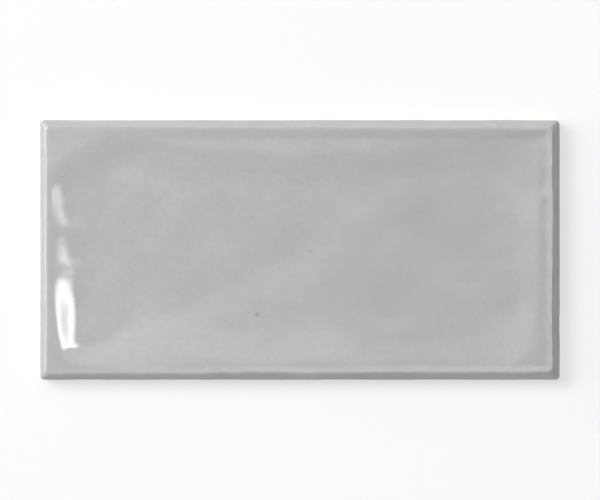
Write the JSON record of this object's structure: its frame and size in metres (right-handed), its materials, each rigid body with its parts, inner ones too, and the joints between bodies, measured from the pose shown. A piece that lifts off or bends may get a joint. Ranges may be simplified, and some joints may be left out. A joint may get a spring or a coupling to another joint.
{
  "type": "wall tile",
  "caption": "Glossy grey glazed ceramic wall tile in the 2:1 brick format, with rounded edges, a raised rim, a shallow dished face and a keyed back.",
  "frame": {"origin": "centre of the back, on the plane of the ribs that meet the adhesive bed", "axes": "+X along the tile's length, +Y across its width (up, as the picture shows it on a wall), +Z out of the glazed face"},
  "size_m": [0.15, 0.075, 0.008],
  "materials": {
    "glaze": "gloss"
  },
  "bodies": {
    "root": {"tile": "glaze"}
  },
  "joints": []
}
